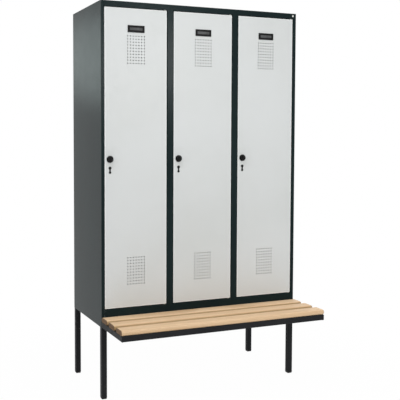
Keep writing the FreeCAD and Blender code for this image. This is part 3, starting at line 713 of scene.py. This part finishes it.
def laySlats():
    at = slatTree()
    for name, board in zip(slatLook["names"], slatLook["boards"]):
        low, high = boxOf("seat_slat_" + name)
        slat = grow("slat_" + name, at, {
            "Size": high - low, "Middle": (low + high) / 2, "Round": slatLook["round"],
            "End Round": slatLook["endRound"], "Crown": slatLook["crown"], "Sway": slatLook["sway"],
            "Board": board,
        })
        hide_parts("seat_slat_" + name)
        dress(slat, "case")


# Rims of the punched vents

ventLook = {
    "columns": 7, "rows": 10, "pitch": 0.016, "hole": 0.007, "lip": 0.0005,
    "upperDrop": 0.146, "lowerRise": 0.125,    # first and last row from the door's top and bottom
    "sides": 12, "lipSides": 4,
}


def ventTree():
    at, given = newTree("ventRims", {
        "Columns": 1, "Rows": 1, "Pitch": 0.0, "Hole": 0.0, "Lip": 0.0,
        "Upper": (0.0, 0.0, 0.0), "Lower": (0.0, 0.0, 0.0),
    })
    grid = at.make("GeometryNodeMeshGrid", {}, {
        "Size X": (given["Columns"] - 1) * given["Pitch"], "Size Y": (given["Rows"] - 1) * given["Pitch"],
        "Vertices X": given["Columns"], "Vertices Y": given["Rows"],
    })
    circle = at.make("GeometryNodeCurvePrimitiveCircle", {}, {
        "Resolution": ventLook["sides"], "Radius": given["Hole"] / 2,
    })
    section = at.make("GeometryNodeCurvePrimitiveCircle", {}, {
        "Resolution": ventLook["lipSides"], "Radius": given["Lip"],
    })
    rim = at.make("GeometryNodeCurveToMesh", {}, {"Curve": circle, "Profile Curve": section})
    field = at.make("GeometryNodeInstanceOnPoints", {}, {"Points": grid, "Instance": rim})
    both = at.tree.nodes.new("GeometryNodeJoinGeometry")
    for place in ("Upper", "Lower"):
        stood = at.make("GeometryNodeTransform", {}, {
            "Geometry": field, "Translation": given[place], "Rotation": (math.pi / 2, 0, 0),
        })
        stood.into(both, 0)
    endTree(at, Wire(at.tree, both.outputs[0]), finishes["door_paint"])
    return at


def punchVents():
    at = ventTree()
    height = (ventLook["rows"] - 1) * ventLook["pitch"]
    for number in doorNumbers:
        low, high = boxOf(f"door_{number}_panel")
        middle = (low.x + high.x) / 2
        rims = grow(f"door_{number}_vent_rims", at, {
            "Columns": ventLook["columns"], "Rows": ventLook["rows"], "Pitch": ventLook["pitch"],
            "Hole": ventLook["hole"], "Lip": ventLook["lip"],
            "Upper": Vector((middle, low.y, high.z - ventLook["upperDrop"] - height / 2)),
            "Lower": Vector((middle, low.y, low.z + ventLook["lowerRise"] + height / 2)),
        })
        dress(rims, f"door_{number}")


# Weld seams of the tube frame

weldLook = {
    "pitch": 0.0021, "size": (0.0021, 0.0019, 0.0019), "jitter": 0.22, "seed": 4,
    "endGap": 0.005, "segments": 8, "rings": 5,
}


def weldTree():
    at, given = newTree("weldSeams", {"Pitch": 0.0, "Size": (0.0, 0.0, 0.0), "Jitter": 0.0, "Seed": 0})
    drop = at.make("GeometryNodeMeshUVSphere", {}, {
        "Segments": weldLook["segments"], "Rings": weldLook["rings"], "Radius": 1.0,
    })
    along = at.make("FunctionNodeAlignRotationToVector", {}, {"Vector": at.make("GeometryNodeInputTangent")})
    swell = at.make("FunctionNodeRandomValue", {"data_type": "FLOAT_VECTOR"}, {
        0: 1 - given["Jitter"], 1: 1 + given["Jitter"], "Seed": given["Seed"],
    })
    beads = at.make("GeometryNodeInstanceOnPoints", {}, {
        "Points": alongLines(at, given["Geometry"], given["Pitch"]), "Instance": drop, "Rotation": along,
        "Scale": at.vector("MULTIPLY", given["Size"], swell),
    })
    endTree(at, beads, finishes["frame_paint"])
    return at


def weldLines():
    # both ends of each seam, worked out from the boxes of the tubes that meet there
    lines = []
    for side, inward in (("left", 1), ("right", -1)):
        rail = boxOf(f"base_{side}_rail")
        under, top = rail[0].z, rail[1].z
        inner = rail[1].x if inward > 0 else rail[0].x
        leg = boxOf(f"front_{side}_leg")
        for y in (leg[0].y, leg[1].y):
            lines.append(((leg[0].x, y, under), (leg[1].x, y, under)))
        lines.append(((inner, leg[0].y, under), (inner, leg[1].y, under)))
        rear = boxOf(f"rear_{side}_leg")
        lines.append(((rear[0].x, rear[0].y, under), (rear[1].x, rear[0].y, under)))
        lines.append(((inner, rear[0].y, under), (inner, rear[0].y, top)))
        front = boxOf("base_front_rail")
        lines.append(((inner, front[1].y, under), (inner, front[1].y, top)))
        outer = rail[0].x if inward > 0 else rail[1].x
        lines.append(((inner, front[1].y, under), (outer, front[0].y, under)))
        for cross in ("base_middle_rail", "base_rear_rail"):
            low, high = boxOf(cross)
            for y in (low.y, high.y):
                lines.append(((inner, y, under), (inner, y, top)))
            lines.append(((inner, low.y, under), (inner, high.y, under)))
    low, high = boxOf("bench_centre_bearer")
    for y in (low.y, high.y):
        for x in (low.x, high.x):
            lines.append(((x, y, low.z), (x, y, high.z)))
        lines.append(((low.x, y, low.z), (high.x, y, low.z)))
    return [drawnIn(Vector(start), Vector(end)) for start, end in lines]


def drawnIn(start, end):
    # a seam stops short of the tubes' rounded corners
    gap = (end - start).normalized() * weldLook["endGap"]
    return start + gap, end - gap


def runSeams(name, at, lines, values):
    points = [end for line in lines for end in line]
    edges = [(2 * i, 2 * i + 1) for i in range(len(lines))]
    return grow(name, at, values, points, edges)


def weldFrame():
    seams = runSeams("frame_weld_seams", weldTree(), weldLines(), {
        "Pitch": weldLook["pitch"], "Size": Vector(weldLook["size"]), "Jitter": weldLook["jitter"],
        "Seed": weldLook["seed"],
    })
    dress(seams, "case")


# Spot welds on the back

spotLook = {
    "pitch": 0.085, "foot": 0.0035, "crest": 0.0022, "rise": 0.0006, "sides": 14,
    "endGap": 0.04, "flange": 0.0075,    # flange: from the case's side to the row of spots
}


def spotTree():
    at, given = newTree("spotWelds", {"Pitch": 0.0, "Foot": 0.0, "Crest": 0.0, "Rise": 0.0})
    dot = at.make("GeometryNodeMeshCone", {}, {
        "Vertices": spotLook["sides"], "Radius Top": given["Crest"], "Radius Bottom": given["Foot"],
        "Depth": given["Rise"],
    })
    dot = at.make("GeometryNodeTransform", {}, {"Geometry": dot, "Rotation": (-math.pi / 2, 0, 0)})
    dots = at.make("GeometryNodeInstanceOnPoints", {}, {
        "Points": alongLines(at, given["Geometry"], given["Pitch"]), "Instance": dot,
    })
    endTree(at, dots, finishes["case_paint"])
    return at


def weldBack():
    gap, flange = spotLook["endGap"], spotLook["flange"]
    side, back = boxOf("left_side_panel"), boxOf("back_panel")
    lines = []
    for x in (side[0].x + flange, -side[0].x - flange):
        lines.append(((x, side[1].y, back[0].z + gap), (x, side[1].y, back[1].z - gap)))
    for number in doorNumbers[:-1]:    # a partition stands between each two doors
        low, high = boxOf(f"partition_{number}")
        x = (low.x + high.x) / 2
        lines.append(((x, back[1].y, low.z + gap), (x, back[1].y, high.z - gap)))
    tray = boxOf("bottom_panel")
    middle = (tray[0].z + tray[1].z) / 2
    lines.append(((back[0].x + gap, back[1].y, middle), (back[1].x - gap, back[1].y, middle)))
    spots = runSeams("back_spot_welds", spotTree(), lines, {
        "Pitch": spotLook["pitch"], "Foot": spotLook["foot"], "Crest": spotLook["crest"],
        "Rise": spotLook["rise"],
    })
    dress(spots, "case")


# Label cards and the blank badge

cardLook = {"rim": 0.011, "clear": 0.0004, "recess": 0.0025, "thick": 0.0007, "bow": 0.0008, "columns": 16}

badgeLook = {
    "place": (0.578, 2.1055), "radius": 0.0055, "rise": 0.0014, "corners": 32,
    "profile": ((1, 0), (1, 0.55), (0.94, 0.8), (0.84, 0.9), (0.78, 0.72), (0.5, 0.86), (0.2, 0.95)),
}


def linkPiece(name, shape, finish):
    mesh = bpy.data.meshes.new(name)
    shape.to_mesh(mesh)
    shape.free()
    mesh.materials.append(finish)
    piece = bpy.data.objects.new(name, mesh)
    bpy.context.scene.collection.objects.link(piece)
    return piece


def fillCards(finish):
    # a thin card, a little bowed between the ends of its holder
    for number in doorNumbers:
        low, high = boxOf(f"door_{number}_label_holder")
        inset = cardLook["rim"] + cardLook["clear"]
        ends = (low.x + inset, high.x - inset)
        floorY = low.y + cardLook["recess"]
        shape = bmesh.new()
        columns = []
        for i in range(cardLook["columns"] + 1):
            share = i / cardLook["columns"]
            x = ends[0] + share * (ends[1] - ends[0])
            bow = cardLook["bow"] * (1 - (2 * share - 1) ** 2)
            faceY = floorY - cardLook["thick"] - bow
            corners = [(faceY, low.z + inset), (faceY, high.z - inset), (floorY - bow, high.z - inset),
                       (floorY - bow, low.z + inset)]
            columns.append([shape.verts.new((x, y, z)) for y, z in corners])
        for first, second in zip(columns, columns[1:]):
            for i in range(len(first)):
                j = (i + 1) % len(first)
                shape.faces.new((first[i], second[i], second[j], first[j]))
        shape.faces.new(columns[0])
        shape.faces.new(reversed(columns[-1]))
        bmesh.ops.recalc_face_normals(shape, faces=shape.faces)
        card = linkPiece(f"door_{number}_card", shape, finish)
        card.data.shade_flat()
        dress(card, f"door_{number}")


def pinBadge(finish):
    # a blank domed disc at the end of the top rail
    x, z = badgeLook["place"]
    y = boxOf("top_panel")[0].y
    turn = 2 * math.pi / badgeLook["corners"]
    shape = bmesh.new()
    rings = []
    for out, up in badgeLook["profile"]:
        radius = out * badgeLook["radius"]
        faceY = y - up * badgeLook["rise"]
        rings.append([
            shape.verts.new((x + radius * math.cos(turn * i), faceY, z + radius * math.sin(turn * i)))
            for i in range(badgeLook["corners"])
        ])
    for first, second in zip(rings, rings[1:]):
        for i in range(badgeLook["corners"]):
            j = (i + 1) % badgeLook["corners"]
            shape.faces.new((first[i], first[j], second[j], second[i]))
    shape.faces.new(rings[0])
    shape.faces.new(rings[-1])
    bmesh.ops.recalc_face_normals(shape, faces=shape.faces)
    badge = linkPiece("blank_badge", shape, finish)
    badge.data.shade_smooth()
    dress(badge, "case")


laySlats()
print("slats laid")
punchVents()
print("vents rimmed")
weldFrame()
weldBack()
print("frame and back welded")
fillCards(plainCard())
pinBadge(finishes["zinc_steel"])
print("cards and badge in place")

aimCamera()
hangLamps()
whiteWorld()
layFloor()
bpy.context.scene.view_settings.view_transform = "Standard"
print("camera, lamps and floor set")
